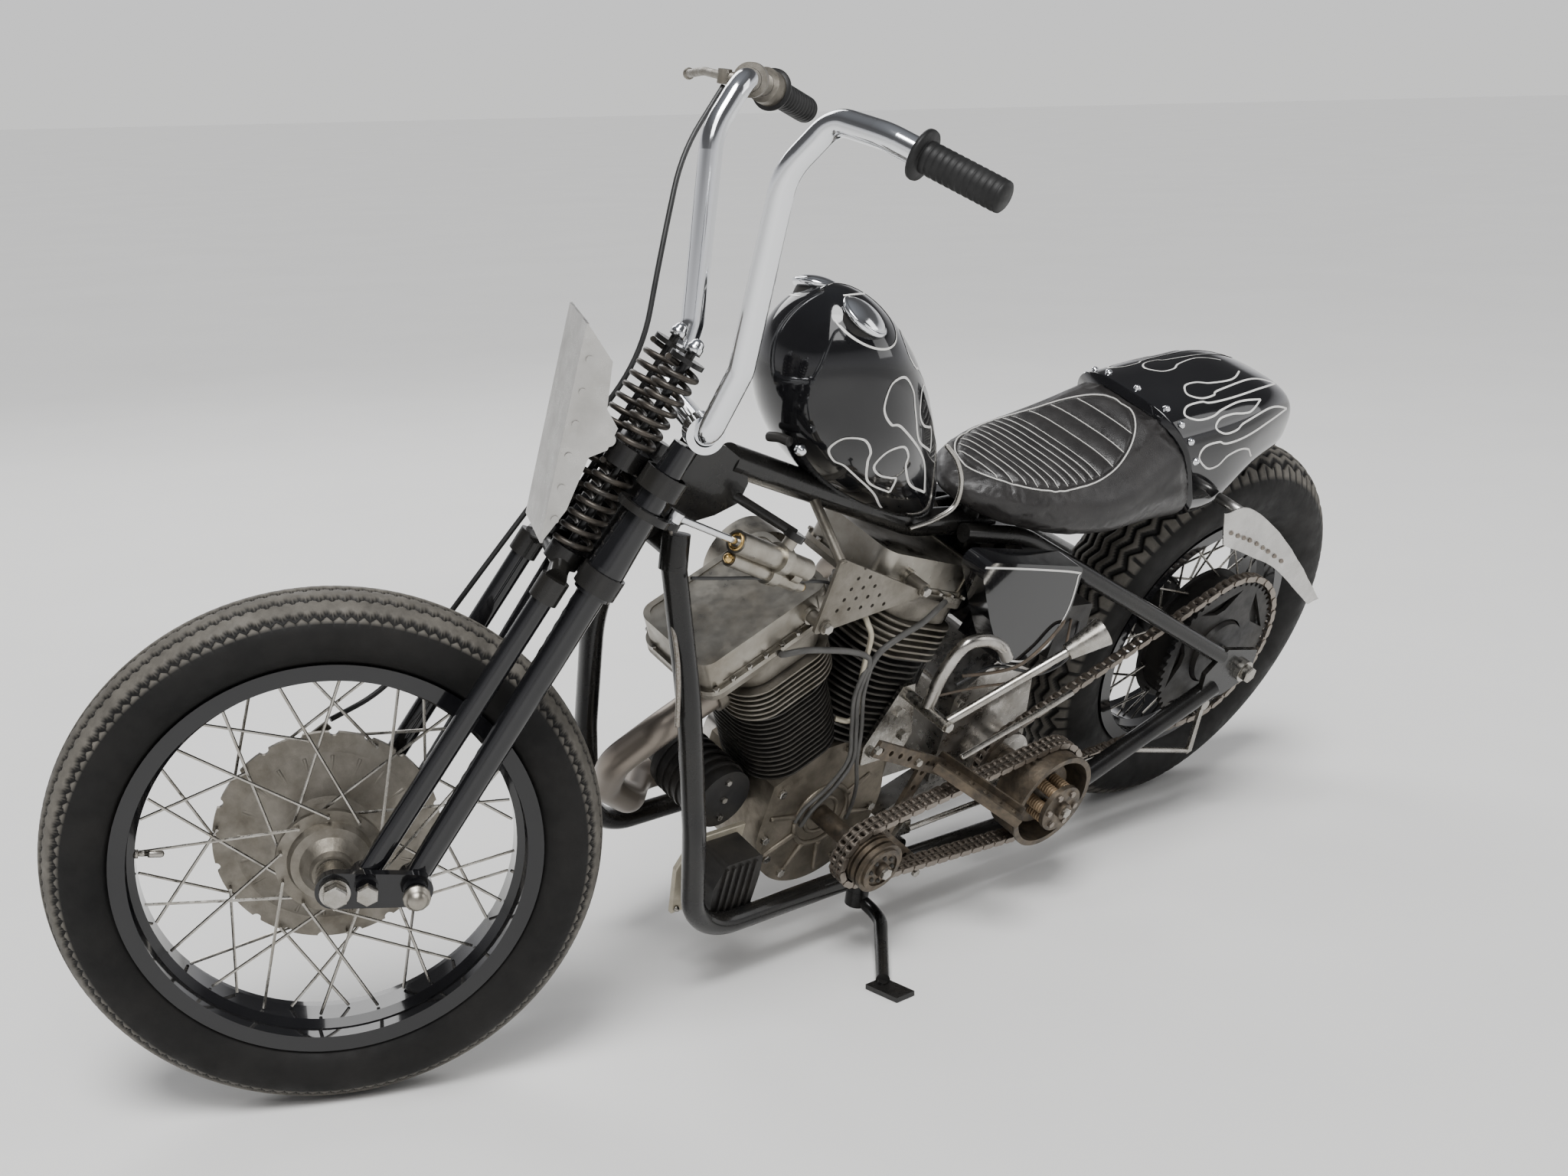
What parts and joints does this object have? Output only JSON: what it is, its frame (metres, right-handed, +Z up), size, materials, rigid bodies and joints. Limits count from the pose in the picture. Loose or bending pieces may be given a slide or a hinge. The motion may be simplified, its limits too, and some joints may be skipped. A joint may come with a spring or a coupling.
{
  "type": "chopper motorcycle",
  "caption": "Rigid-frame V-twin chopper with a springer fork, steering damper, small tank and finned tail, leaning on its side stand.",
  "frame": {"origin": "middle of the underside of the whole bounding box, on the ground that both tyres and the stand's foot rest on", "axes": "+X towards the front of the motorcycle, +Y to its left, +Z up; the motorcycle leans to +Y on its stand"},
  "size_m": [2.228, 0.9516, 1.2511],
  "materials": {
    "black_paint": "gloss",
    "black_satin": "satin",
    "chrome": "mirror",
    "dark_steel": "satin",
    "grey_cast": "satin",
    "iron": "matte",
    "leather": "satin",
    "polished": "satin",
    "rubber": "matte",
    "steel": "satin",
    "tyre": "matte"
  },
  "bodies": {
    "frame": {"steering_neck": "black_paint", "backbone": "black_paint", "left_downtube": "black_paint", "right_downtube": "black_paint", "left_lower_stay": "black_paint", "right_lower_stay": "black_paint", "left_upper_stay": "black_paint", "right_upper_stay": "black_paint", "rear_axle": "steel", "rear_chain": "dark_steel", "primary_chain": "dark_steel", "primary_drive": "steel", "crankcase": "grey_cast", "cylinders": "iron", "cylinder_heads": "grey_cast", "rocker_covers": "polished", "cam_cover": "polished", "carburettor": "polished", "generator": "black_satin", "regulator": "black_satin", "exhaust_pipes": "dark_steel", "head_brace": "polished", "gearbox": "polished", "jockey_lever": "black_satin", "foot_controls": "polished", "oil_tank": "black_paint", "fuel_tank": "black_paint", "tank_caps": "chrome", "seat_pad": "leather", "tail_cowl": "black_paint", "side_plate": "polished", "electrics_tray": "black_satin", "rear_brake_arm": "polished", "stand_bracket": "black_paint"},
    "fork": {"front_axle": "steel", "rockers": "black_paint", "fork_legs": "black_paint", "fork_crowns": "black_paint", "spring_yoke": "black_paint", "fork_springs": "dark_steel", "brake_plate": "grey_cast", "number_plate": "polished", "handlebar": "chrome", "grips": "rubber", "brake_lever": "black_satin", "brake_cable": "rubber"},
    "front_wheel": {"front_tyre": "tyre", "front_rim": "black_paint", "front_spokes": "steel", "front_hub": "grey_cast"},
    "rear_wheel": {"rear_hub": "black_satin", "rear_tyre": "tyre", "rear_rim": "black_paint", "rear_spokes": "steel", "rear_sprocket": "dark_steel"},
    "side_stand": {"side_stand": "black_paint"},
    "damper_body": {"damper_body": "black_satin"},
    "damper_rod": {"damper_rod": "chrome"}
  },
  "joints": [
    {"name": "steering", "type": "hinge", "parent": "frame", "child": "fork", "pos_m": [0.50099, -0.05711, 0.73752], "axis": [-0.4587, 0.3257, 0.8268], "range_deg": [0, 58]},
    {"name": "front_wheel_spin", "type": "hinge", "parent": "fork", "child": "front_wheel", "pos_m": [0.80846, -0.25839, 0.33425], "axis": [0.4497, 0.8876, -0.1002], "continuous": true},
    {"name": "rear_wheel_spin", "type": "hinge", "parent": "frame", "child": "rear_wheel", "pos_m": [-0.77401, -0.22111, 0.3212], "axis": [0, 0.9304, -0.3665], "continuous": true},
    {"name": "stand_swing", "type": "hinge", "parent": "frame", "child": "side_stand", "pos_m": [-0.01271, -0.19888, 0.05021], "axis": [-0.0052, 0.2079, 0.9781], "range_deg": [0, 103]},
    {"name": "damper_swing", "type": "hinge", "parent": "frame", "child": "damper_body", "pos_m": [0.29252, -0.00645, 0.64787], "axis": [-0.4587, 0.3257, 0.8268], "range_deg": [-8.99, 0]},
    {"name": "damper_slide", "type": "slide", "parent": "damper_body", "child": "damper_rod", "axis": [0.8882, 0.1953, 0.4158], "range_m": [-0.08125, 0]}
  ],
  "couplings": [
    {"joint": "damper_swing", "follows": "steering", "ratio": -0.14641},
    {"joint": "damper_slide", "follows": "steering", "m_per_rad": -0.079279}
  ]
}
